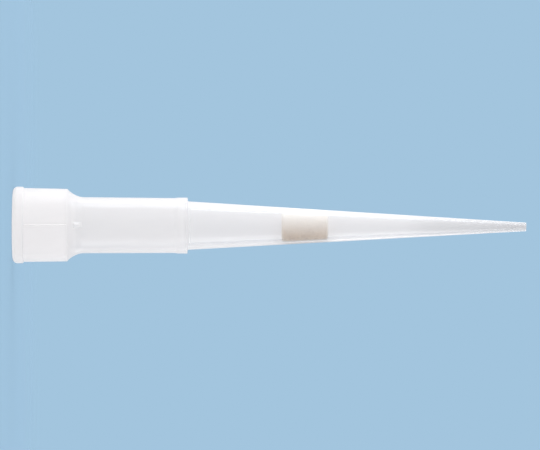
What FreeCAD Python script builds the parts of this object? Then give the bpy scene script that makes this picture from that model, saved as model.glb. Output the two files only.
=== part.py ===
"""A filtered laboratory pipette tip: one thin moulded polypropylene shell with a sintered filter plug wedged in its bore.

The tip stands on its mouth, where a pipette's nose goes in, with the point up. The origin is the centre of the
rim's flat, +Z runs along the axis towards the point, and all lengths are in millimetres.

Both pieces are turned shapes. The bores are the driving sizes, because the core pin sets what seals and what holds
liquid, and the outside follows from them by the walls. Every half section is a ring of corners, each with the
radius that rounds it off.
"""

import FreeCAD, Part
import math
import os

from FreeCAD import Vector

# Socket for the pipette's nose
SEAL_DIAMETER = 5.30  # straight band that grips and seals on the nose
SEAL_LENGTH = 1.60
SEAL_SETBACK = 0.22  # from the band's inner end to the collar's shoulder
SOCKET_TAPER = 0.15  # radius lost from the funnel to the band
LEAD_IN_LENGTH = 0.60  # funnel at the mouth
LEAD_IN_FLARE = 0.22
SEAT_STEP = 0.35  # radius lost under the band
SEAT_RAMP = 0.60

# Collar round the socket
COLLAR_LENGTH = 5.42
COLLAR_WALL = 0.95  # at the seal band
COLLAR_DRAFT = 0.07  # radius lost from the lip to the shoulder
LIP_LENGTH = 1.00  # raised bead at the rim
LIP_HEIGHT = 0.13
LIP_RAMP = 0.12
RIM_ROUNDING = 0.50
SHOULDER_ROUNDING = 0.10

# Neck: a hollow sweep from the collar down to the sleeve
NECK_ANGLE = 52.0  # degrees off the axis, at the collar's end
NECK_RADIUS = 2.05

# Sleeve, which hangs in a rack's hole
SLEEVE_LENGTH = 11.94  # from the collar's shoulder to the step
SLEEVE_WALL = 0.49
SLEEVE_DRAFT = 0.065
SLEEVE_BORE_DRAFT = 0.12
RING_LENGTH = 0.95  # raised ring round the sleeve's end
RING_HEIGHT = 0.05
RING_RAMP = 0.35
STEP_FOOT_ROUNDING = 0.15

# Cone, which holds the liquid
CONE_LENGTH = 33.64
CONE_WALL = 0.43  # at the step
BORE_STEP = 0.20  # radius lost inside, just behind the step
BORE_STEP_RAMP = 0.50
BORE_STEP_SETBACK = 0.20
ORIFICE_DIAMETER = 0.46
ORIFICE_WALL = 0.19

# Filter plug
FILTER_LENGTH = 4.60
FILTER_SETBACK = 9.32  # from the step to the plug's wide end
FILTER_CLEARANCE = 0.01  # between the plug and the bore that squeezes it
FILTER_WIDE_ROUNDING = 0.30
FILTER_NARROW_ROUNDING = 0.18

SHORTEST_EDGE = 1e-6

# Heights along the axis
shoulder_z = COLLAR_LENGTH
step_z = shoulder_z + SLEEVE_LENGTH
point_z = step_z + CONE_LENGTH

# Heights inside the bore
seal_end_z = shoulder_z - SEAL_SETBACK
seal_start_z = seal_end_z - SEAL_LENGTH
sleeve_bore_z = seal_end_z + SEAT_RAMP
cone_bore_z = step_z - BORE_STEP_SETBACK
sleeve_bore_end_z = cone_bore_z - BORE_STEP_RAMP

# Radii of the bores, from the seal band outwards to the mouth and inwards to the orifice
seal_r = SEAL_DIAMETER / 2
socket_r = seal_r + SOCKET_TAPER
mouth_r = socket_r + LEAD_IN_FLARE
sleeve_bore_r = seal_r - SEAT_STEP
sleeve_bore_end_r = sleeve_bore_r - SLEEVE_BORE_DRAFT
cone_bore_r = sleeve_bore_end_r - BORE_STEP
orifice_r = ORIFICE_DIAMETER / 2

# Radii of the outside, each a wall away from its bore
collar_r = seal_r + COLLAR_WALL
collar_lip_r = collar_r + COLLAR_DRAFT
lip_r = collar_lip_r + LIP_HEIGHT
sleeve_r = sleeve_bore_r + SLEEVE_WALL
sleeve_end_r = sleeve_r - SLEEVE_DRAFT
ring_r = sleeve_end_r + RING_HEIGHT
cone_r = cone_bore_r + CONE_WALL
point_r = orifice_r + ORIFICE_WALL


def corner(radius, height, rounding=0):
    """One corner of a half section: where it is, and the radius that rounds it off."""
    return Vector(radius, 0, height), rounding


def limited_reaches(runs, reaches):
    """How far each rounding reaches along its two edges, shortened where two neighbours would meet."""
    count = len(runs)
    for i in range(count):
        after = (i + 1) % count
        taken = reaches[i] + reaches[after]
        room = runs[i].Length
        if taken > room:
            reaches[i] *= room / taken
            reaches[after] *= room / taken
    return reaches


def corner_arc(point, heading_in, heading_out, turn, reach):
    """Arc tangent to both edges of a corner, with its two ends."""
    start = point - heading_in * reach
    end = point + heading_out * reach
    inward = Vector(heading_out - heading_in).normalize()
    radius = reach / math.tan(turn / 2)
    depth = radius * (1 / math.cos(turn / 2) - 1)
    return start, end, Part.Arc(start, point + inward * depth, end).toShape()


def rounded_outline(corners):
    """Closed wire round a half section, with every rounded corner as a tangent arc."""
    points = [point for point, rounding in corners]
    count = len(points)
    runs = [points[(i + 1) % count] - points[i] for i in range(count)]
    headings = [Vector(run).normalize() for run in runs]
    turns = [headings[i - 1].getAngle(headings[i]) for i in range(count)]
    wanted = [rounding * math.tan(turn / 2) for (point, rounding), turn in zip(corners, turns)]
    reaches = limited_reaches(runs, wanted)

    pieces = []
    for i, point in enumerate(points):
        if reaches[i] < SHORTEST_EDGE:
            pieces.append((point, point, None))
        else:
            pieces.append(corner_arc(point, headings[i - 1], headings[i], turns[i], reaches[i]))

    edges = []
    for i, (start, end, arc) in enumerate(pieces):
        next_start = pieces[(i + 1) % count][0]
        if arc is not None:
            edges.append(arc)
        if (next_start - end).Length > SHORTEST_EDGE:
            edges.append(Part.makeLine(end, next_start))
    return Part.Wire(edges)


def turned(corners):
    """Solid of revolution about the tip's axis."""
    return Part.Face(rounded_outline(corners)).revolve(Vector(0, 0, 0), Vector(0, 0, 1), 360)


def cone_bore_radius(height):
    """Radius of the liquid's bore at a height on the cone."""
    share = (height - cone_bore_z) / (point_z - cone_bore_z)
    return cone_bore_r + (orifice_r - cone_bore_r) * share


def collar_outline():
    """Outside, from the rim's flat over the lip and the collar to the foot of the neck."""
    neck_foot_z = shoulder_z + (collar_r - sleeve_r) / math.tan(math.radians(NECK_ANGLE))
    return [
        corner(lip_r, 0, RIM_ROUNDING),
        corner(lip_r, LIP_LENGTH),
        corner(collar_lip_r, LIP_LENGTH + LIP_RAMP),
        corner(collar_r, shoulder_z, SHOULDER_ROUNDING),
        corner(sleeve_r, neck_foot_z, NECK_RADIUS),
    ]


def sleeve_and_cone_outline():
    """Outside, from the ring round the sleeve's end over the step and along the cone to the point."""
    return [
        corner(sleeve_end_r, step_z - RING_LENGTH - RING_RAMP),
        corner(ring_r, step_z - RING_LENGTH),
        corner(ring_r, step_z),
        corner(cone_r, step_z, STEP_FOOT_ROUNDING),
        corner(point_r, point_z),
    ]


def bore_outline():
    """Inside, from the point back down the liquid's bore, the sleeve and the socket to the mouth."""
    return [
        corner(orifice_r, point_z),
        corner(cone_bore_r, cone_bore_z),
        corner(sleeve_bore_end_r, sleeve_bore_end_z),
        corner(sleeve_bore_r, sleeve_bore_z),
        corner(seal_r, seal_end_z),
        corner(seal_r, seal_start_z),
        corner(socket_r, LEAD_IN_LENGTH),
        corner(mouth_r, 0),
    ]


def tip_body():
    """The moulded shell, in one piece from the rim to the point."""
    return turned(collar_outline() + sleeve_and_cone_outline() + bore_outline())


def filter_plug():
    """Sintered plug, squeezed to the taper of the bore that holds it."""
    wide_z = step_z + FILTER_SETBACK
    narrow_z = wide_z + FILTER_LENGTH
    wide_r = cone_bore_radius(wide_z) - FILTER_CLEARANCE
    narrow_r = cone_bore_radius(narrow_z) - FILTER_CLEARANCE
    return turned([
        corner(0, wide_z),
        corner(wide_r, wide_z, FILTER_WIDE_ROUNDING),
        corner(narrow_r, narrow_z, FILTER_NARROW_ROUNDING),
        corner(0, narrow_z),
    ])


def main():
    os.makedirs("parts", exist_ok=True)
    for name, solid in {"tip_body": tip_body(), "filter_plug": filter_plug()}.items():
        solid.exportStep(f"parts/{name}.step")
        box = solid.optimalBoundingBox(True, False)
        print(
            f"{name}: {solid.ShapeType}, valid {solid.isValid()}, {solid.Volume:.3f} mm3, "
            f"radius {box.XMax:.3f}, z {box.ZMin:.3f} to {box.ZMax:.3f}, "
            f"centre of mass at z {solid.CenterOfMass.z:.2f}"
        )


main()
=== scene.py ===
# %% [markdown]
# # A filtered pipette tip
#
# A pipette tip is a throwaway nozzle for moving small drops. A pipette's nose is pushed into the wide
# collar, liquid is drawn up the long cone, and a porous plug half way up keeps the liquid and its mist
# out of the pipette. The tip stands on its collar here, with the point up.
#
# The frame holds the two solids at their real size. This lesson models both again with finer detail,
# gives them their plastics, and lights them. Everything is in metres, so `MM` turns a size in
# millimetres into one that Blender reads.

import math

import bmesh
import bpy
from mathutils import Matrix, Vector


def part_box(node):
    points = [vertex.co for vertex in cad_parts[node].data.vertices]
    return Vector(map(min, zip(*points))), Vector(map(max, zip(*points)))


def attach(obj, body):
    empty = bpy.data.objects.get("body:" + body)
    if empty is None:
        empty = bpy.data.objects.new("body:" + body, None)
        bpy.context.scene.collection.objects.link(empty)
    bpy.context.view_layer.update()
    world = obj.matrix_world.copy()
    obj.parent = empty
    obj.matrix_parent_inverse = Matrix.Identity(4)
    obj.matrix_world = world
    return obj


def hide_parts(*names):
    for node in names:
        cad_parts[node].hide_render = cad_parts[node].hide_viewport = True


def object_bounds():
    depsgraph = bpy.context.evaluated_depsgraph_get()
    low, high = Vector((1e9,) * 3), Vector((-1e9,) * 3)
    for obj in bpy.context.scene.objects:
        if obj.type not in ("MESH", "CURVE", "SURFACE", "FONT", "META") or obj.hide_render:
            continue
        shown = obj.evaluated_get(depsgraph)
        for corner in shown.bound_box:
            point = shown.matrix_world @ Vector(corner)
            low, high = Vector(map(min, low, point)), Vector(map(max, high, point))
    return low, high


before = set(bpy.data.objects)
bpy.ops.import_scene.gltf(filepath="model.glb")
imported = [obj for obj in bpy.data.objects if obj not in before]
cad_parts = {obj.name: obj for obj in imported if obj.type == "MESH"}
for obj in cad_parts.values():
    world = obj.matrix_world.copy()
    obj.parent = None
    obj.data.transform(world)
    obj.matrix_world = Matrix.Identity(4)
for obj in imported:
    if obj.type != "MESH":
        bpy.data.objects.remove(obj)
solid_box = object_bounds()

MM = 0.001
print("solid box:", [round(v / MM, 3) for corner in solid_box for v in corner], "mm")

# %% [markdown]
# ## Heights and radii
#
# The shell is a turned shape, so a few radii and heights say all about it. The box of the frame gives
# the two that bound it: the lip's radius and the point's height. The rest are read off a drawing of
# the tip, from the mouth at z = 0 upwards, and each wall lies between an outside and a bore.

# %% Sizes of the shell
lip_r = solid_box[1].x
point_z = solid_box[1].z

LIP_TOP_Z = 1.00 * MM
COLLAR_Z = 1.12 * MM
SHOULDER_Z = 5.42 * MM
NECK_FOOT_Z = 6.053 * MM
RING_FOOT_Z = 16.06 * MM
RING_Z = 16.41 * MM
STEP_Z = 17.36 * MM

COLLAR_LIP_R = 3.67 * MM
COLLAR_R = 3.60 * MM
SLEEVE_R = 2.79 * MM
SLEEVE_END_R = 2.725 * MM
RING_R = 2.775 * MM
CONE_R = 2.41 * MM
POINT_R = 0.42 * MM

RIM_ROUNDING = 0.50 * MM
NECK_ROUNDING = 2.05 * MM
SHOULDER_ROUNDING = 0.10 * MM
STEP_FOOT_ROUNDING = 0.15 * MM
EDGE_ROUNDING = 0.04 * MM  # what a mould's sharp corner leaves

print(f"lip radius {lip_r / MM:.2f} mm, point at {point_z / MM:.2f} mm")

# %% Sizes of the bore
MOUTH_R = 3.02 * MM
FUNNEL_R = 2.80 * MM
FUNNEL_Z = 0.60 * MM
SEAL_R = 2.65 * MM
SEAL_START_Z = 3.60 * MM
SEAL_END_Z = 5.20 * MM
SLEEVE_BORE_R = 2.30 * MM
SLEEVE_BORE_Z = 5.80 * MM
SLEEVE_BORE_END_R = 2.18 * MM
SLEEVE_BORE_END_Z = 16.66 * MM
CONE_BORE_R = 1.98 * MM
CONE_BORE_Z = 17.16 * MM
ORIFICE_R = 0.23 * MM

step_wall = CONE_R - CONE_BORE_R
point_wall = POINT_R - ORIFICE_R
print(f"the cone's wall: {step_wall / MM:.2f} mm at the step, {point_wall / MM:.2f} mm at the point")

# %% [markdown]
# ## Camera
#
# A small long thing looks true to scale through a long lens from far away, because near and far sides
# then come out the same size. The tip lies across the picture, so the camera is rolled by a quarter
# turn: the world's up points to the picture's right. A matrix whose columns are the camera's right,
# up and backward directions says that without any angles to puzzle over.

# %% Camera
LENS_MM = 500.0
SENSOR_MM = 36.0
PICTURE_WIDTH = 53.64 * MM  # what the picture spans at the tip's axis
AIM_HEIGHT = 25.55 * MM
AIM_SIDE = -0.10 * MM
TILT = math.radians(0.22)

camera_data = bpy.data.cameras.new("camera")
camera_data.lens = LENS_MM
camera_data.sensor_width = SENSOR_MM
camera = bpy.data.objects.new("camera", camera_data)
bpy.context.collection.objects.link(camera)

right = Vector((0, 0, 1))
up = Vector((-1, 0, 0))
backward = right.cross(up)
away = PICTURE_WIDTH * LENS_MM / SENSOR_MM
turned = Matrix((right, up, backward)).transposed().to_4x4() @ Matrix.Rotation(TILT, 4, "Z")
camera.matrix_world = Matrix.Translation(Vector((AIM_SIDE, 0, AIM_HEIGHT)) + backward * away) @ turned
bpy.context.scene.camera = camera
bpy.context.scene.view_settings.view_transform = "Standard"
print(f"camera {away:.3f} m away")

# %% [markdown]
# ## Building with nodes
#
# Backdrop, floor and plastics are all made of nodes. Two small helpers keep their recipes short: one
# adds a node with its settings and input values, the other links sockets in pairs.

# %% Helpers for nodes


def add(tree, kind, inputs=None, **settings):
    """Adds a node with its settings, and values on some of its inputs."""
    node = tree.nodes.new("ShaderNode" + kind)
    for name, value in settings.items():
        setattr(node, name, value)
    for name, value in (inputs or {}).items():
        node.inputs[name].default_value = value
    return node


def join(tree, *pairs):
    """Links each pair of sockets, from an output to an input."""
    for output, socket in pairs:
        tree.links.new(output, socket)


print("helpers: add, join")

# %% [markdown]
# ## Backdrop
#
# The world does two jobs. To dull surfaces it is white light from all round, twice as strong on the
# lamps' side, so that the tip rounds off gently. To the eye, and in reflections and through clear
# plastic, it is a pale blue backdrop. Light Path tells the two apart. One trap is light that has soaked
# through milky plastic: Blender counts it as transmitted and as diffuse, and it would carry the blue
# into the plastic. So any ray that is diffuse, or that was, sees white.

# %% World
BACKDROP = (0.366, 0.558, 0.730, 1)
AMBIENT = (1.0, 1.0, 1.0, 1)
LIT_SIDE = 1.20  # strength of the white light from the lamps' side
FAR_SIDE = 0.62


def eye_rays(tree):
    """A mask that is 1 for rays from the eye, straight, reflected or refracted, and 0 for light's own."""
    path = add(tree, "LightPath")
    straight = add(tree, "Math", operation="ADD")
    passed = add(tree, "Math", operation="ADD", use_clamp=True)
    never_diffuse = add(tree, "MapRange", {"To Min": 1.0, "To Max": 0.0})
    both = add(tree, "Math", operation="MULTIPLY")
    mask = add(tree, "Math", operation="SUBTRACT", use_clamp=True)
    join(
        tree,
        (path.outputs["Is Camera Ray"], straight.inputs[0]),
        (path.outputs["Is Glossy Ray"], straight.inputs[1]),
        (straight.outputs[0], passed.inputs[0]),
        (path.outputs["Is Transmission Ray"], passed.inputs[1]),
        (path.outputs["Diffuse Depth"], never_diffuse.inputs["Value"]),
        (passed.outputs[0], both.inputs[0]),
        (never_diffuse.outputs[0], both.inputs[1]),
        (both.outputs[0], mask.inputs[0]),
        (path.outputs["Is Diffuse Ray"], mask.inputs[1]),
    )
    return mask.outputs[0]


world = bpy.data.worlds.new("backdrop")
world.use_nodes = True
bpy.context.scene.world = world
tree = world.node_tree
tree.nodes.clear()
direction = add(tree, "TexCoord")
sides = add(tree, "SeparateXYZ")
falloff = add(tree, "MapRange", {"From Min": -1.0, "From Max": 1.0, "To Min": LIT_SIDE, "To Max": FAR_SIDE})
ambient = add(tree, "Background", {"Color": AMBIENT})
backdrop = add(tree, "Background", {"Color": BACKDROP})
choice = add(tree, "MixShader")
output = add(tree, "OutputWorld")
join(
    tree,
    (direction.outputs["Generated"], sides.inputs[0]),
    (sides.outputs["X"], falloff.inputs["Value"]),
    (falloff.outputs["Result"], ambient.inputs["Strength"]),
    (eye_rays(tree), choice.inputs["Fac"]),
    (ambient.outputs[0], choice.inputs[1]),
    (backdrop.outputs[0], choice.inputs[2]),
    (choice.outputs[0], output.inputs["Surface"]),
)
print("world: white light from", LIT_SIDE, "down to", FAR_SIDE, "and a blue backdrop")

# %% [markdown]
# ## Lamps
#
# Milky plastic looks flat in even light, so four lamps shape it. A broad panel along one side lifts
# that side and lets the plug fall off gently towards the other. A long narrow strip beside it is
# mirrored in the far wall of the polished bore as a fine bright line. A soft fill nearer the camera
# evens out the rest. It is kept out of reflections, so it adds no highlight of its own. And a small
# lamp on the far side picks out the cone's other edge.
#
# Each lamp is dimmer towards its long sides, as a real softbox is, so its reflection has no hard
# border. The lamps are hidden from the camera and never stand in the way of a view.

# %% Lamps
LAMP_HEIGHT = 25.5 * MM
SOFT_RIM = 0.50  # share of the width, at each long side, in which a lamp fades out
MIDDLE = 0.5  # where a lamp's own coordinate, from 0 to 1, has its middle


def softbox(name, azimuth, distance, length, width, radiance, height=LAMP_HEIGHT, mirrored=True):
    """A rectangular lamp along the tip, dimmer towards its long sides. Azimuth 0 is the camera's side."""
    data = bpy.data.lights.new(name, "AREA")
    data.shape = "RECTANGLE"
    data.size = width
    data.size_y = length
    data.energy = math.pi * length * width * radiance
    data.use_nodes = True
    tree = data.node_tree
    place = add(tree, "NewGeometry")
    parts = add(tree, "SeparateXYZ")
    centred = add(tree, "Math", {1: -MIDDLE}, operation="ADD")
    off_middle = add(tree, "Math", operation="ABSOLUTE")
    soft_rim = {"From Min": MIDDLE, "From Max": MIDDLE - SOFT_RIM}
    fade = add(tree, "MapRange", soft_rim, interpolation_type="SMOOTHSTEP")
    join(
        tree,
        (place.outputs["Parametric"], parts.inputs[0]),
        (parts.outputs["X"], centred.inputs[0]),
        (centred.outputs[0], off_middle.inputs[0]),
        (off_middle.outputs[0], fade.inputs["Value"]),
        (fade.outputs["Result"], tree.nodes["Emission"].inputs["Strength"]),
    )
    lamp = bpy.data.objects.new(name, data)
    bpy.context.collection.objects.link(lamp)
    turn = math.radians(azimuth)
    side = Vector((-math.sin(turn), -math.cos(turn), 0))
    across = Vector((0, 0, 1)).cross(side)
    facing = Matrix((across, Vector((0, 0, 1)), side)).transposed().to_4x4()
    lamp.matrix_world = Matrix.Translation(side * distance + Vector((0, 0, height))) @ facing
    lamp.visible_camera = False
    lamp.visible_glossy = mirrored
    print(f"{name}: {data.energy:.2f} W")


STRIP = {"azimuth": 84, "distance": 0.35, "length": 0.30, "width": 0.03, "radiance": 3.0}
PANEL = {"azimuth": 108, "distance": 0.50, "length": 0.80, "width": 0.80, "radiance": 1.6}
FILL = {"azimuth": 62, "distance": 0.50, "length": 0.80, "width": 0.50, "radiance": 0.7, "mirrored": False}
EDGE = {"azimuth": -128, "distance": 0.35, "length": 0.09, "width": 0.12, "radiance": 4.0, "height": 0.090}
softbox("side_strip", **STRIP)
softbox("side_panel", **PANEL)
softbox("soft_fill", **FILL)
softbox("point_edge", **EDGE)

# %% [markdown]
# ## Floor
#
# The tip stands on a pale disc that keeps its shadow. The disc fades out towards its rim, so that it
# has no edge against the backdrop. The eye sees it in the backdrop's blue, but it sends white light up
# into the tip, as a sheet of white card would: a blue floor would tint the whole collar. Its underside
# is clear, so that a view from below still shows the mouth.

# %% Floor
FLOOR_RADIUS = 90.0 * MM
FLOOR_SOLID = 0.25  # share of the radius in which the disc doesn't fade
FLOOR_SIDES = 96
FLOOR_DROP = 0.01 * MM
FLOOR_SEEN = (0.355, 0.543, 0.717, 1)
FLOOR_GIVEN = (0.90, 0.90, 0.90, 1)

bpy.ops.object.select_all(action="DESELECT")
bpy.ops.mesh.primitive_circle_add(
    vertices=FLOOR_SIDES,
    radius=FLOOR_RADIUS,
    fill_type="TRIFAN",
    location=(0, 0, -FLOOR_DROP),
)
floor = bpy.context.object
floor.name = "floor"

material = bpy.data.materials.new("pale_floor")
material.use_nodes = True
floor.data.materials.append(material)
tree = material.node_tree
paint = tree.nodes["Principled BSDF"]
paint.inputs["Roughness"].default_value = 0.8
paint.inputs["Specular IOR Level"].default_value = 0.0
colour = add(tree, "Mix", data_type="RGBA")
colour.inputs["A"].default_value = FLOOR_GIVEN
colour.inputs["B"].default_value = FLOOR_SEEN
place = add(tree, "TexCoord")
reach = add(tree, "VectorMath", operation="LENGTH")
soft_rim = {"From Min": FLOOR_RADIUS, "From Max": FLOOR_RADIUS * FLOOR_SOLID}
fade = add(tree, "MapRange", soft_rim, interpolation_type="SMOOTHSTEP")
geometry = add(tree, "NewGeometry")
from_above = add(tree, "MapRange", {"To Min": 1.0, "To Max": 0.0})
cover = add(tree, "Math", operation="MULTIPLY")
join(
    tree,
    (eye_rays(tree), colour.inputs["Factor"]),
    (colour.outputs["Result"], paint.inputs["Base Color"]),
    (place.outputs["Object"], reach.inputs[0]),
    (reach.outputs["Value"], fade.inputs["Value"]),
    (geometry.outputs["Backfacing"], from_above.inputs["Value"]),
    (fade.outputs["Result"], cover.inputs[0]),
    (from_above.outputs["Result"], cover.inputs[1]),
    (cover.outputs[0], paint.inputs["Alpha"]),
)
print(f"floor: {2 * FLOOR_RADIUS / MM:.0f} mm across")

# %% [markdown]
# ## How a turned piece is drawn
#
# A ring of vertices is a section of anything turned. Extruding the ring, moving it up and scaling it
# draws the next stretch of wall, so a list of corners becomes a shape ring by ring. Spinning a half
# section would do as well, but rings keep every corner easy to find again. The corners that a mould
# rounds off are bevelled afterwards, each by the reach that its radius and its turn ask for.

# %% Rings
SIDES = 256
ARC_STEP = math.radians(4.5)


def start_ring(name, radius, height):
    """Adds one ring of vertices about the axis and opens it in edit mode."""
    bpy.ops.object.select_all(action="DESELECT")
    bpy.ops.mesh.primitive_circle_add(vertices=SIDES, radius=radius, location=(0, 0, height))
    piece = bpy.context.object
    piece.name = name
    bpy.ops.object.transform_apply(location=True, rotation=False, scale=False)
    bpy.ops.object.mode_set(mode="EDIT")
    bpy.ops.mesh.select_all(action="SELECT")
    return piece


def draw_ring(here, there):
    """Extrudes the chosen ring from one corner to the next. A corner is (radius, height, rounding)."""
    bpy.ops.mesh.extrude_region_move(TRANSFORM_OT_translate={"value": (0, 0, there[1] - here[1])})
    size = there[0] / here[0]
    bpy.ops.transform.resize(value=(size, size, 1), center_override=(0, 0, there[1]))


print("a ring has", SIDES, "sides")

# %% Choosing edges and points
NEAR = 0.002 * MM  # how exactly a point has to lie where it is looked for
MERGED = 0.0005 * MM  # points closer than this become one
MOST_OF_RUN = 0.96  # share of a straight run that one bevel may take up


def choose(piece, kind, wanted):
    """Selects the edges ("EDGE") or points ("VERT") whose every vertex passes a test of its place."""
    bpy.ops.mesh.select_mode(type=kind)
    bpy.ops.mesh.select_all(action="DESELECT")
    mesh = bmesh.from_edit_mesh(piece.data)
    if kind == "EDGE":
        chosen = [edge for edge in mesh.edges if all(wanted(point.co) for point in edge.verts)]
    else:
        chosen = [point for point in mesh.verts if wanted(point.co)]
    for element in chosen:
        element.select_set(True)
    bmesh.update_edit_mesh(piece.data)
    return len(chosen)


def round_ring(piece, before, at, after):
    """Bevels one corner to its rounding, with enough segments to look smooth."""
    run_in = Vector(at[:2]) - Vector(before[:2])
    run_out = Vector(after[:2]) - Vector(at[:2])
    turn = run_in.angle(run_out)
    room = MOST_OF_RUN * min(run_in.length, run_out.length)
    reach = min(at[2] * math.tan(turn / 2), room)
    segments = max(2, math.ceil(turn / ARC_STEP))
    choose(piece, "EDGE", lambda p: abs(p.z - at[1]) < NEAR and abs(p.xy.length - at[0]) < NEAR)
    bpy.ops.mesh.bevel(offset=reach, offset_type="OFFSET", segments=segments, profile=0.5)


def leave_edit_mode():
    """Merges doubled points, turns all faces outwards and closes edit mode."""
    bpy.ops.mesh.select_all(action="SELECT")
    bpy.ops.mesh.remove_doubles(threshold=MERGED)
    bpy.ops.mesh.normals_make_consistent(inside=False)
    bpy.ops.object.mode_set(mode="OBJECT")


print(f"an arc turns {math.degrees(ARC_STEP)} degrees at most at each segment")

# %% [markdown]
# ## The shell
#
# The outside runs from the rim over the collar, the hollow neck and the sleeve to the step, then along
# the cone. Three fine beads ring the point, where the mould's tip insert left its tool marks. Four more
# rings change nothing yet. Two on the collar are where the parting line will start and stop. Two in the
# bore bound the stretch that grips the plug, which gets a finish of its own.

# %% Outline of the shell
BEADS = 3
BEAD_PITCH = 0.245 * MM
BEAD_HALF = 0.07 * MM
BEAD_HEIGHT = 0.018 * MM
LAST_BEAD_SETBACK = 0.12 * MM
PARTING_START_Z = 1.30 * MM
PARTING_END_Z = 5.22 * MM
GRIP_START_Z = 26.70 * MM
GRIP_END_Z = 31.26 * MM


def between(low, high, height):
    """Radius at a height on the straight wall between two corners."""
    return low[0] + (high[0] - low[0]) * (height - low[1]) / (high[1] - low[1])


collar_low = (COLLAR_LIP_R, COLLAR_Z, EDGE_ROUNDING / 2)
collar_high = (COLLAR_R, SHOULDER_Z, SHOULDER_ROUNDING)
cone_low = (CONE_R, STEP_Z, STEP_FOOT_ROUNDING)
cone_high = (POINT_R, point_z, EDGE_ROUNDING)

outside = [
    (lip_r, 0, RIM_ROUNDING),
    (lip_r, LIP_TOP_Z, EDGE_ROUNDING),
    collar_low,
    (between(collar_low, collar_high, PARTING_START_Z), PARTING_START_Z, 0),
    (between(collar_low, collar_high, PARTING_END_Z), PARTING_END_Z, 0),
    collar_high,
    (SLEEVE_R, NECK_FOOT_Z, NECK_ROUNDING),
    (SLEEVE_END_R, RING_FOOT_Z, 0),
    (RING_R, RING_Z, 0),
    (RING_R, STEP_Z, EDGE_ROUNDING),
    cone_low,
]
for bead in range(BEADS):
    z = point_z - LAST_BEAD_SETBACK - BEAD_PITCH * (BEADS - 1 - bead)
    outside.append((between(cone_low, cone_high, z - BEAD_HALF), z - BEAD_HALF, 0))
    outside.append((between(cone_low, cone_high, z) + BEAD_HEIGHT, z, BEAD_HALF / 2))
    outside.append((between(cone_low, cone_high, z + BEAD_HALF), z + BEAD_HALF, 0))
outside.append(cone_high)

core_rounding = 3 * EDGE_ROUNDING  # a core pin's corners are polished rounder
bore_high = (ORIFICE_R, point_z, EDGE_ROUNDING)
bore_low = (CONE_BORE_R, CONE_BORE_Z, EDGE_ROUNDING)
bore = [
    bore_high,
    (between(bore_low, bore_high, GRIP_END_Z), GRIP_END_Z, 0),
    (between(bore_low, bore_high, GRIP_START_Z), GRIP_START_Z, 0),
    bore_low,
    (SLEEVE_BORE_END_R, SLEEVE_BORE_END_Z, EDGE_ROUNDING),
    (SLEEVE_BORE_R, SLEEVE_BORE_Z, core_rounding),
    (SEAL_R, SEAL_END_Z, core_rounding),
    (SEAL_R, SEAL_START_Z, 0),
    (FUNNEL_R, FUNNEL_Z, core_rounding),
    (MOUTH_R, 0, EDGE_ROUNDING),
]
print(f"{len(outside)} corners outside, {len(bore)} in the bore")

# %% Turn the shell
outline = outside + bore
shell = start_ring("tip_shell", outline[0][0], outline[0][1])
for here, there in zip(outline, outline[1:]):
    draw_ring(here, there)
bpy.ops.mesh.select_all(action="DESELECT")
bpy.ops.mesh.select_non_manifold()
bpy.ops.mesh.bridge_edge_loops()
for k, at in enumerate(outline):
    if at[2]:
        round_ring(shell, outline[k - 1], at, outline[(k + 1) % len(outline)])
print("corners rounded:", sum(1 for at in outline if at[2]))

# %% [markdown]
# ## Parting line and gate
#
# The collar is moulded between two halves that meet along a line on either side, and a hair of plastic
# squeezed between them stands up as a ridge. One point of every ring lies exactly on that line, so a
# row of points pulled outwards makes it, and the rings above and below let it run out. The spot where
# the plastic was let in is a small pad on the neck, in line with the ridge. Three steps, each smaller
# than the one below, round it like a button.

# %% Parting ridges and gate pad
RIDGE_HEIGHT = 0.07 * MM
RIDGE_PINCH = 0.90  # draws the points beside the ridge in, so that its flanks are steep
RIDGE_REACH = 0.10 * MM  # how far to each side points are drawn in
PAD_Z = 6.42 * MM
PAD_STEP_HEIGHT = 0.09 * MM
PAD_STEPS = [(0.26 * MM, 0.36 * MM), (0.19 * MM, 0.28 * MM), (0.12 * MM, 0.20 * MM)]  # half sizes
COLLAR_SKIN_Y = SEAL_R + 0.50 * MM  # in the collar, points further out than this are outside
NECK_SKIN_Y = SLEEVE_BORE_R + 0.30 * MM


def on_parting(p, side, half_width):
    """Tells if a point is on the collar's outside, within a half width of the parting line on one side."""
    on_line = abs(p.x) < half_width and p.y * side > COLLAR_SKIN_Y
    return on_line and PARTING_START_Z - NEAR < p.z < PARTING_END_Z + NEAR


for side in (-1, 1):
    choose(shell, "VERT", lambda p: on_parting(p, side, RIDGE_REACH))
    bpy.ops.transform.resize(value=(RIDGE_PINCH, 1, 1), center_override=(0, side * COLLAR_R, 0))
    count = choose(shell, "VERT", lambda p: on_parting(p, side, NEAR))
    bpy.ops.transform.translate(value=(0, side * RIDGE_HEIGHT, 0))
    print("ridge:", count, "points pulled out by", RIDGE_HEIGHT / MM, "mm")

def on_pad(p, half_width, half_length):
    """Tells if a point is on the neck's outside, within a half width and length of the pad's middle."""
    return abs(p.x) < half_width and p.y < -NECK_SKIN_Y and abs(p.z - PAD_Z) < half_length


for half_width, half_length in PAD_STEPS:
    count = choose(shell, "VERT", lambda p: on_pad(p, half_width, half_length))
    bpy.ops.transform.translate(value=(0, -PAD_STEP_HEIGHT, 0))
    print("pad:", count, "points")

leave_edit_mode()
print("shell:", len(shell.data.vertices), "points,", len(shell.data.polygons), "faces")

# %% [markdown]
# ## Smooth shading
#
# The arcs turn by a few degrees at each segment, so shading smooths anything below that and leaves the
# true corners crisp. A smoothed corner still bends the light on the long walls beside it. Weighted
# normals mend that: the bigger face decides, so a long wall keeps one even highlight.

# %% Smooth shading
SHARP_FROM = math.radians(6)


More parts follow.
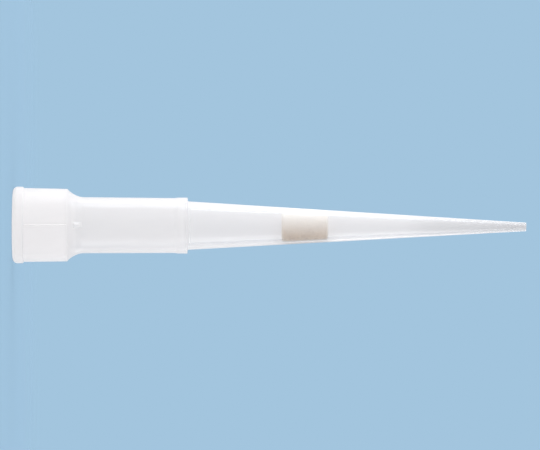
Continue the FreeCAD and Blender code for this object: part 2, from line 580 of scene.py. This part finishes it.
def smooth(piece, angle=SHARP_FROM):
    """Smooth shading, except across corners that are meant to be crisp."""
    bpy.ops.object.select_all(action="DESELECT")
    piece.select_set(True)
    bpy.context.view_layer.objects.active = piece
    bpy.ops.object.shade_smooth_by_angle(angle=angle)


def finish_modifier(piece, kind, **settings):
    """Adds a modifier with its settings and applies it."""
    modifier = piece.modifiers.new(kind.lower(), kind)
    for name, value in settings.items():
        setattr(modifier, name, value)
    bpy.context.view_layer.objects.active = piece
    bpy.ops.object.modifier_apply(modifier=modifier.name)


smooth(shell)
finish_modifier(shell, "WEIGHTED_NORMAL", keep_sharp=True)
print("shell: crisp from", round(math.degrees(SHARP_FROM)), "degrees")

# %% [markdown]
# ## The filter plug
#
# The plug is polyethylene powder, pressed in a mould and heated until the beads stick. It is a short
# rod, tapered to the bore that squeezes it, with rounded ends. Its beads are about 0.15 mm across and
# show as a pebbled skin, so the walls are cut into a fine grid and a cell pattern pushes the gaps
# between beads inwards. It never pushes outwards, so the plug stays clear of the bore.

# %% Filter plug
PLUG_WIDE_R = 1.478 * MM
PLUG_NARROW_R = 1.240 * MM
PLUG_WIDE_ROUNDING = 0.30 * MM
PLUG_NARROW_ROUNDING = 0.18 * MM
PLUG_EYE = 0.05 * MM  # the small ring round each pole
GRID_STEP = 0.045 * MM

plug_low, plug_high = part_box("filter_plug")
plug_rings = [
    (PLUG_EYE, plug_low.z, 0),
    (PLUG_WIDE_R, plug_low.z, PLUG_WIDE_ROUNDING),
    (PLUG_NARROW_R, plug_high.z, PLUG_NARROW_ROUNDING),
    (PLUG_EYE, plug_high.z, 0),
]
plug = start_ring("filter_plug_body", *plug_rings[0][:2])
for here, there in zip(plug_rings, plug_rings[1:]):
    draw_ring(here, there)
for k in (1, 2):
    round_ring(plug, plug_rings[k - 1], plug_rings[k], plug_rings[k + 1])
for z in (plug_low.z, plug_high.z):
    choose(plug, "VERT", lambda p: abs(p.z - z) < NEAR and p.xy.length < PLUG_EYE + NEAR)
    bpy.ops.mesh.extrude_region_move()
    bpy.ops.mesh.merge(type="CENTER")
print("plug:", plug_low.z / MM, "to", plug_high.z / MM, "mm")

# %% Grid on the plug


def divide(piece, shortest):
    """Cuts every edge that is longer than a length, and runs along the section, into grid steps."""
    mesh = bmesh.from_edit_mesh(piece.data)
    long_edges = [edge for edge in mesh.edges if edge.calc_length() > shortest]
    lengths = sorted({round(edge.calc_length() / NEAR) for edge in long_edges})
    for length in lengths:
        bpy.ops.mesh.select_mode(type="EDGE")
        bpy.ops.mesh.select_all(action="DESELECT")
        mesh = bmesh.from_edit_mesh(piece.data)
        for edge in mesh.edges:
            edge.select_set(round(edge.calc_length() / NEAR) == length)
        bmesh.update_edit_mesh(piece.data)
        bpy.ops.mesh.subdivide_edgering(number_cuts=max(1, round(length * NEAR / GRID_STEP) - 1))
    return len(lengths)


runs = divide(plug, 3 * GRID_STEP)
leave_edit_mode()
print("plug:", runs, "runs cut,", len(plug.data.polygons), "faces")

# %% Beads of the plug
BEAD_SIZE = 0.15 * MM
BEAD_RELIEF = 0.022 * MM

cells = bpy.data.textures.new("sintered_cells", "VORONOI")
cells.noise_scale = BEAD_SIZE
smooth(plug, math.radians(180))
finish_modifier(plug, "DISPLACE", texture=cells, texture_coords="LOCAL", mid_level=0.0, strength=-BEAD_RELIEF)
print("plug:", len(plug.data.polygons), "faces with beads")

# %% [markdown]
# ## Effects that the plastics share
#
# Three things make a moulded plastic look real. It is cloudy on the scale of millimetres, drawn out
# along the way it flowed. It has fine marks along it, where it slid off the steel. And its skin is
# never quite flat. Each effect is a node group, built once and used with its own values.

# %% Effect groups


def new_group(name, inputs, outputs):
    """A node group with number inputs and their defaults, and outputs of the kinds given."""
    tree = bpy.data.node_groups.new(name, "ShaderNodeTree")
    for label, value in inputs.items():
        tree.interface.new_socket(label, in_out="INPUT", socket_type="NodeSocketFloat").default_value = value
    for label, kind in outputs.items():
        tree.interface.new_socket(label, in_out="OUTPUT", socket_type="NodeSocket" + kind)
    return tree, tree.nodes.new("NodeGroupInput"), tree.nodes.new("NodeGroupOutput")


def use_group(tree, group, inputs):
    """Places a group in a material, with its own values."""
    return add(tree, "Group", inputs, node_tree=group)


# Clouds: soft blotches, stretched along the axis
clouds, given, result = new_group("clouds", {"Scale": 900.0, "Stretch": 0.3}, {"Level": "Float"})
place = add(clouds, "TexCoord")
parts = add(clouds, "SeparateXYZ")
height = add(clouds, "Math", operation="MULTIPLY")
point = add(clouds, "CombineXYZ")
blotches = add(clouds, "TexNoise", {"Detail": 3.0, "Roughness": 0.55})
contrast = add(clouds, "MapRange", {"From Min": 0.3, "From Max": 0.7}, interpolation_type="SMOOTHSTEP")
join(
    clouds,
    (place.outputs["Object"], parts.inputs[0]),
    (parts.outputs["Z"], height.inputs[0]),
    (given.outputs["Stretch"], height.inputs[1]),
    (parts.outputs["X"], point.inputs["X"]),
    (parts.outputs["Y"], point.inputs["Y"]),
    (height.outputs[0], point.inputs["Z"]),
    (point.outputs[0], blotches.inputs["Vector"]),
    (given.outputs["Scale"], blotches.inputs["Scale"]),
    (blotches.outputs["Fac"], contrast.inputs["Value"]),
    (contrast.outputs["Result"], result.inputs["Level"]),
)

# Draw marks: streaks that keep their place round the axis and run along it
draw_marks, given, result = new_group("draw_marks", {"Count": 12.0, "Drift": 60.0}, {"Level": "Float"})
place = add(draw_marks, "TexCoord")
flat = add(draw_marks, "VectorMath", operation="MULTIPLY")
flat.inputs[1].default_value = (1, 1, 0)
around = add(draw_marks, "VectorMath", operation="NORMALIZE")
parts = add(draw_marks, "SeparateXYZ")
height = add(draw_marks, "Math", operation="MULTIPLY")
lift = add(draw_marks, "CombineXYZ")
point = add(draw_marks, "VectorMath", operation="ADD")
streaks = add(draw_marks, "TexNoise", {"Detail": 2.0, "Roughness": 0.7})
contrast = add(draw_marks, "MapRange", {"From Min": 0.52, "From Max": 0.72}, interpolation_type="SMOOTHSTEP")
join(
    draw_marks,
    (place.outputs["Object"], flat.inputs[0]),
    (flat.outputs[0], around.inputs[0]),
    (place.outputs["Object"], parts.inputs[0]),
    (parts.outputs["Z"], height.inputs[0]),
    (given.outputs["Drift"], height.inputs[1]),
    (height.outputs[0], lift.inputs["Z"]),
    (around.outputs[0], point.inputs[0]),
    (lift.outputs[0], point.inputs[1]),
    (point.outputs[0], streaks.inputs["Vector"]),
    (given.outputs["Count"], streaks.inputs["Scale"]),
    (streaks.outputs["Fac"], contrast.inputs["Value"]),
    (contrast.outputs["Result"], result.inputs["Level"]),
)

# Ripple: a skin that is a thousandth of a millimetre off flat, or less
ripple, given, result = new_group("ripple", {"Scale": 1500.0, "Height": 1e-6}, {"Normal": "Vector"})
place = add(ripple, "TexCoord")
waves = add(ripple, "TexNoise", {"Detail": 2.0, "Roughness": 0.5})
relief = add(ripple, "Bump", {"Strength": 1.0})
join(
    ripple,
    (place.outputs["Object"], waves.inputs["Vector"]),
    (given.outputs["Scale"], waves.inputs["Scale"]),
    (waves.outputs["Fac"], relief.inputs["Height"]),
    (given.outputs["Height"], relief.inputs["Distance"]),
    (relief.outputs["Normal"], result.inputs["Normal"]),
)
print("groups:", clouds.name, draw_marks.name, ripple.name)

# %% [markdown]
# ## Milky plastic
#
# Polypropylene is clear plastic with a mist of crystals in it. Real mist costs a lot of rendering, so
# each surface is a veil instead: a mix of clear plastic that bends the light, and white plastic that
# scatters it, some of it straight through. Lamps can't shine through bent light, so light on its way in
# and out takes a plain see-through path.
#
# Three things set how white the veil is. The satin outside and the bore differ, and so do the two sides
# of each: the near wall of the bore is almost clear, the far one is white and closes the view. A
# surface seen edge-on has more plastic behind it. And thick walls are milkier, so the collar hides its
# bore while the cone shows the plug.
#
# The white is never quite one shade either. It is greyer where walls are thin, and clouds vary it a
# little everywhere. In the narrow bore towards the point it is painted darker: painted shade in the core.
# Near the point, where the wall slid furthest along the steel, fine streaks show.
# The bore carries a coat on its white, since a polished core pin leaves it glossier than the skin.

# %% Shades along the tip
CLEAR = (1.0, 1.0, 1.0, 1)
LET_THROUGH = (0.92, 0.92, 0.92, 1)
WARMTH = (1.0, 0.975, 0.988)
STREAK = (0.45, 0.45, 0.47, 1)
CLOUD_DEPTH = 0.04
RIPPLE_HEIGHT = 0.5e-6
COAT_ROUGHNESS = 0.03
COAT_IOR = 2.2

# Pairs of a height in millimetres and the level there
CLEARNESS = [(0, 0.3), (5.3, 0.3), (6.4, 0.7), (17.0, 0.7), (17.6, 1.0), (51.0, 1.0)]
SKIN_SHADES = [(0, 0.98), (5.0, 0.98), (6.5, 0.93), (17.0, 0.93), (17.6, 0.94), (51.0, 0.94)]
# In the bore the levels fall towards the point: painted shade in the narrow core.
BORE_SHADES_AND_PAINTED_SHADE = [(0, 0.98), (5.0, 0.98), (6.5, 0.93), (17.0, 0.93), (38.5, 0.94), (41.5, 0.80), (51.0, 0.64)]
STREAK_DEPTHS = [(0, 0.0), (33.0, 0.0), (44.0, 0.5), (51.0, 0.5)]
NO_COAT = [(0, 0.0), (51.0, 0.0)]
POLISH = [(0, 0.5), (5.2, 0.5), (5.8, 1.0), (51.0, 1.0)]

print("clearness from", CLEARNESS[0][1], "at the collar to", CLEARNESS[-1][1], "at the point")

# %% Material of the shell


def empty_material(name):
    """A new material with nothing in it but its output."""
    material = bpy.data.materials.new(name)
    material.use_nodes = True
    tree = material.node_tree
    tree.nodes.clear()
    return material, tree, add(tree, "OutputMaterial")


def by_height(tree, levels, tint=(1, 1, 1)):
    """A value that changes along the axis, through a level at each of some heights in millimetres."""
    place = add(tree, "TexCoord")
    axis = add(tree, "SeparateXYZ")
    share = add(tree, "MapRange", {"From Max": point_z})
    ramp = add(tree, "ValToRGB")
    stops = ramp.color_ramp.elements
    for k, (height, level) in enumerate(levels):
        stop = stops[k] if k < 2 else stops.new(1.0)
        stop.position = height * MM / point_z
        stop.color = [level * part for part in tint] + [1]
    join(
        tree,
        (place.outputs["Object"], axis.inputs[0]),
        (axis.outputs["Z"], share.inputs["Value"]),
        (share.outputs["Result"], ramp.inputs["Fac"]),
    )
    return ramp.outputs["Color"]


def milky_plastic(name, front, back, edge, ior, roughness, through, coat, shades, painted_veil=(0, 1, 0)):
    """A veil of clear and white plastic, whose whiteness differs between a face's front and its back.

    edge and the side veil are (from, to, added whiteness): how far a surface turns away, and how far across
    it lies.
    The side veil is painted light: whiteness added towards the lamps' side.
    """
    material, tree, output = empty_material(name)
    path = add(tree, "LightPath")
    geometry = add(tree, "NewGeometry")
    weight = add(tree, "LayerWeight", {"Blend": 0.5})
    cloud = use_group(tree, clouds, {"Scale": 700.0, "Stretch": 0.3})
    marks = use_group(tree, draw_marks, {"Count": 14.0, "Drift": 40.0})
    skin = use_group(tree, ripple, {"Scale": 1800.0, "Height": RIPPLE_HEIGHT})

    clear = add(tree, "BsdfPrincipled", {"Base Color": CLEAR, "Roughness": roughness[0], "IOR": ior})
    clear.inputs["Transmission Weight"].default_value = 1.0
    milk = add(tree, "BsdfPrincipled", {"Roughness": roughness[1]})
    milk.inputs["Coat Roughness"].default_value = COAT_ROUGHNESS
    milk.inputs["Coat IOR"].default_value = COAT_IOR
    glow = add(tree, "BsdfTranslucent")
    white = add(tree, "MixShader", {"Fac": through})
    streak = add(tree, "Math", operation="MULTIPLY")
    uneven = add(tree, "Math", {1: CLOUD_DEPTH}, operation="MULTIPLY_ADD")
    shade = add(tree, "Mix", data_type="RGBA")
    shade.inputs["B"].default_value = STREAK
    veil = add(tree, "MixShader")
    see_through = add(tree, "BsdfTransparent", {"Color": LET_THROUGH})
    pane = add(tree, "MixShader")

    by_side = add(tree, "MapRange", {"To Min": front, "To Max": back})
    by_edge = add(tree, "MapRange", {"From Min": edge[0], "From Max": edge[1], "To Max": edge[2]})
    by_painted_veil = add(tree, "MapRange", {"From Min": painted_veil[0], "From Max": painted_veil[1], "To Max": painted_veil[2]})
    place = add(tree, "TexCoord")
    across = add(tree, "SeparateXYZ")
    side_and_painted_veil = add(tree, "Math", operation="ADD")
    either = add(tree, "Math", operation="ADD", use_clamp=True)
    clearer = add(tree, "Math", {0: 1.0}, operation="SUBTRACT")
    by_wall = add(tree, "Math", operation="MULTIPLY")
    whiteness = add(tree, "Math", {0: 1.0}, operation="SUBTRACT")
    light = [add(tree, "Math", operation="MAXIMUM") for k in range(2)]
    join(
        tree,
        (geometry.outputs["Backfacing"], by_side.inputs["Value"]),
        (weight.outputs["Facing"], by_edge.inputs["Value"]),
        (place.outputs["Object"], across.inputs[0]),
        (across.outputs["X"], by_painted_veil.inputs["Value"]),
        (by_side.outputs[0], side_and_painted_veil.inputs[0]),
        (by_painted_veil.outputs["Result"], side_and_painted_veil.inputs[1]),
        (side_and_painted_veil.outputs[0], either.inputs[0]),
        (by_edge.outputs[0], either.inputs[1]),
        (either.outputs[0], clearer.inputs[1]),
        (clearer.outputs[0], by_wall.inputs[0]),
        (by_height(tree, CLEARNESS), by_wall.inputs[1]),
        (marks.outputs["Level"], streak.inputs[0]),
        (by_height(tree, STREAK_DEPTHS), streak.inputs[1]),
        (by_height(tree, shades, WARMTH), shade.inputs["A"]),
        (by_height(tree, coat), milk.inputs["Coat Weight"]),
        (cloud.outputs["Level"], uneven.inputs[0]),
        (streak.outputs[0], uneven.inputs[2]),
        (uneven.outputs[0], shade.inputs["Factor"]),
        (shade.outputs["Result"], milk.inputs["Base Color"]),
        (shade.outputs["Result"], glow.inputs["Color"]),
        (by_wall.outputs[0], whiteness.inputs[1]),
        (whiteness.outputs[0], veil.inputs["Fac"]),
        (skin.outputs["Normal"], clear.inputs["Normal"]),
        (skin.outputs["Normal"], milk.inputs["Normal"]),
        (milk.outputs[0], white.inputs[1]),
        (glow.outputs[0], white.inputs[2]),
        (clear.outputs[0], veil.inputs[1]),
        (white.outputs[0], veil.inputs[2]),
        (path.outputs["Is Shadow Ray"], light[0].inputs[0]),
        (path.outputs["Is Diffuse Ray"], light[0].inputs[1]),
        (light[0].outputs[0], light[1].inputs[0]),
        (path.outputs["Is Reflection Ray"], light[1].inputs[1]),
        (light[1].outputs[0], pane.inputs["Fac"]),
        (veil.outputs[0], pane.inputs[1]),
        (see_through.outputs[0], pane.inputs[2]),
        (pane.outputs[0], output.inputs["Surface"]),
    )
    return material


print("a milky plastic is made by a function, once for each finish")

# %% [markdown]
# ## Three finishes of the shell
#
# The skin is satin and the bore is polished. The third finish is for the stretch of bore that grips the
# plug. The beads press into the wall and leave little air behind it, so light bends less there, and the
# plug looks a little slimmer than the lens of the cone would make it. The wall is also painted milkier
# towards the lamps' side: a painted veil of light over the plug, whiter where the lamps fall.

# %% Skin outside, polish inside
END_FACE = 0.9  # a face whose normal lies along the axis by more than this is no wall of the bore

satin_skin = milky_plastic(
    "satin_skin",
    front=0.25,
    back=0.40,
    edge=(0.38, 0.72, 0.8),
    ior=1.49,
    roughness=(0.06, 0.40),
    through=0.35,
    coat=NO_COAT,
    shades=SKIN_SHADES,
)
polished_bore = milky_plastic(
    "polished_bore",
    front=1.0,
    back=0.05,
    edge=(0.19, 0.26, 0.9),
    ior=1.49,
    roughness=(0.04, 0.15),
    through=0.5,
    coat=POLISH,
    shades=BORE_SHADES_AND_PAINTED_SHADE,
)
gripping_bore = milky_plastic(
    "gripping_bore",
    front=1.0,
    back=0.05,
    edge=(0.28, 0.35, 0.9),
    ior=1.35,
    roughness=(0.04, 0.15),
    through=0.0,
    coat=NO_COAT,
    shades=BORE_SHADES_AND_PAINTED_SHADE,
    # painted light: the wall is whiter towards the lamps' side
    painted_veil=(0.90 * MM, -0.20 * MM, 0.16),
)
for plastic in (satin_skin, polished_bore, gripping_bore):
    shell.data.materials.append(plastic)
for face in shell.data.polygons:
    if face.normal.xy.dot(face.center.xy) < 0 and abs(face.normal.z) < END_FACE:
        grips = GRIP_START_Z < face.center.z < GRIP_END_Z
        face.material_index = 2 if grips else 1
print("bore faces:", sum(face.material_index > 0 for face in shell.data.polygons))

# %% [markdown]
# ## Sintered beads
#
# Up close the plug is a crowd of pale beads with dark gaps. The same cell size that shaped the skin
# colours it: each bead gets its own shade, the gaps are painted darker as painted shade, and clouds show
# where the powder lay thinner. It is quite matt, because light wanders into the pores and soaks a little way
# in.
#
# Light picks up more of the beads' beige the deeper it goes. The plug is lighter in a band at each of its
# two ends, and its side towards the lamps is painted lighter: painted light, a pale highlight that fades
# across the plug.

# %% Material of the plug
BEAD_PALE = (0.82, 0.64, 0.483, 1)
BEAD_DEEP = (0.69, 0.515, 0.373, 1)
# Painted shade: the gaps between beads are darkened by this colour.
GAP_PAINTED_SHADE = (0.80, 0.77, 0.74, 1)
PALE_AND_PAINTED_LIGHT_SHADE = (0.96, 0.93, 0.885, 1)
END_BAND = 0.35 * MM
END_PALENESS = 0.35
# Painted light: from the first height to the second, the plug's colour goes lighter towards the lamps' side.
PAINTED_LIGHT_FROM = 1.00 * MM
PAINTED_LIGHT_TO = -1.00 * MM
PAINTED_LIGHT_PALENESS = 0.92
SOAK = 0.25
SOAK_REACH = 0.5 * MM
SOAK_SPREAD = (1.0, 0.9, 0.8)
SHADE_SPREAD = 0.5  # how much one bead's shade differs from the next
GAP_FROM = 0.35
GAP_TO = 0.75

plug_middle_z = (plug_low.z + plug_high.z) / 2
plug_half_length = (plug_high.z - plug_low.z) / 2

sintered, tree, output = empty_material("sintered_beads")
place = add(tree, "TexCoord")
cell = add(tree, "TexVoronoi", {"Scale": 1 / BEAD_SIZE})
shade = add(tree, "SeparateColor")
heights = add(tree, "SeparateXYZ")
cloud = use_group(tree, clouds, {"Scale": 1400.0, "Stretch": 0.8})
level = add(tree, "Math", {1: SHADE_SPREAD}, operation="MULTIPLY")
both = add(tree, "Math", operation="ADD")
tone = add(tree, "Mix", data_type="RGBA")
tone.inputs["A"].default_value = BEAD_DEEP
tone.inputs["B"].default_value = BEAD_PALE
gap_painted_shade = add(tree, "MapRange", {"From Min": GAP_FROM, "From Max": GAP_TO})
from_middle = add(tree, "Math", {1: -plug_middle_z}, operation="ADD")
from_ends = add(tree, "Math", operation="ABSOLUTE")
end_band = add(tree, "MapRange", {"From Min": plug_half_length - END_BAND, "From Max": plug_half_length})
end_band.inputs["To Max"].default_value = END_PALENESS
# painted light: the colour is lighter towards the lamps' side
painted_light_side = add(tree, "MapRange", {"From Min": PAINTED_LIGHT_FROM, "From Max": PAINTED_LIGHT_TO, "To Max": PAINTED_LIGHT_PALENESS})
paleness_and_painted_light = add(tree, "Math", operation="MAXIMUM")
paler_and_painted_light = add(tree, "Mix", data_type="RGBA")
paler_and_painted_light.inputs["B"].default_value = PALE_AND_PAINTED_LIGHT_SHADE
# painted shade in the gaps between beads
pore_painted_shade = add(tree, "Mix", data_type="RGBA", blend_type="MULTIPLY")
pore_painted_shade.inputs["B"].default_value = GAP_PAINTED_SHADE
relief = add(tree, "Bump", {"Strength": 0.6, "Distance": 0.01 * MM}, invert=True)
beads = add(tree, "BsdfPrincipled", {"Roughness": 0.9})
beads.inputs["Subsurface Weight"].default_value = SOAK
beads.inputs["Subsurface Scale"].default_value = SOAK_REACH
beads.inputs["Subsurface Radius"].default_value = SOAK_SPREAD
join(
    tree,
    (place.outputs["Object"], cell.inputs["Vector"]),
    (cell.outputs["Color"], shade.inputs[0]),
    (shade.outputs[0], level.inputs[0]),
    (level.outputs[0], both.inputs[0]),
    (cloud.outputs["Level"], both.inputs[1]),
    (both.outputs[0], tone.inputs["Factor"]),
    (cell.outputs["Distance"], gap_painted_shade.inputs["Value"]),
    (tone.outputs["Result"], pore_painted_shade.inputs["A"]),
    (gap_painted_shade.outputs["Result"], pore_painted_shade.inputs["Factor"]),
    (place.outputs["Object"], heights.inputs[0]),
    (heights.outputs["Z"], from_middle.inputs[0]),
    (from_middle.outputs[0], from_ends.inputs[0]),
    (from_ends.outputs[0], end_band.inputs["Value"]),
    (pore_painted_shade.outputs["Result"], paler_and_painted_light.inputs["A"]),
    (heights.outputs["X"], painted_light_side.inputs["Value"]),
    (painted_light_side.outputs["Result"], paleness_and_painted_light.inputs[0]),
    (end_band.outputs["Result"], paleness_and_painted_light.inputs[1]),
    (paleness_and_painted_light.outputs[0], paler_and_painted_light.inputs["Factor"]),
    (paler_and_painted_light.outputs["Result"], beads.inputs["Base Color"]),
    (cell.outputs["Distance"], relief.inputs["Height"]),
    (relief.outputs["Normal"], beads.inputs["Normal"]),
    (beads.outputs[0], output.inputs["Surface"]),
)
plug.data.materials.append(sintered)
print("plug material:", sintered.name)

# %% [markdown]
# ## Join the frame
#
# Each piece stands for one solid of the frame, which is hidden, and moves with the same body. Finer
# detail must never make the tip bigger than it is.

# %% Join the frame
for piece, node, slot in ((shell, "tip_body", "shell"), (plug, "filter_plug", "filter")):
    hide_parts(node)
    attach(piece, "root")
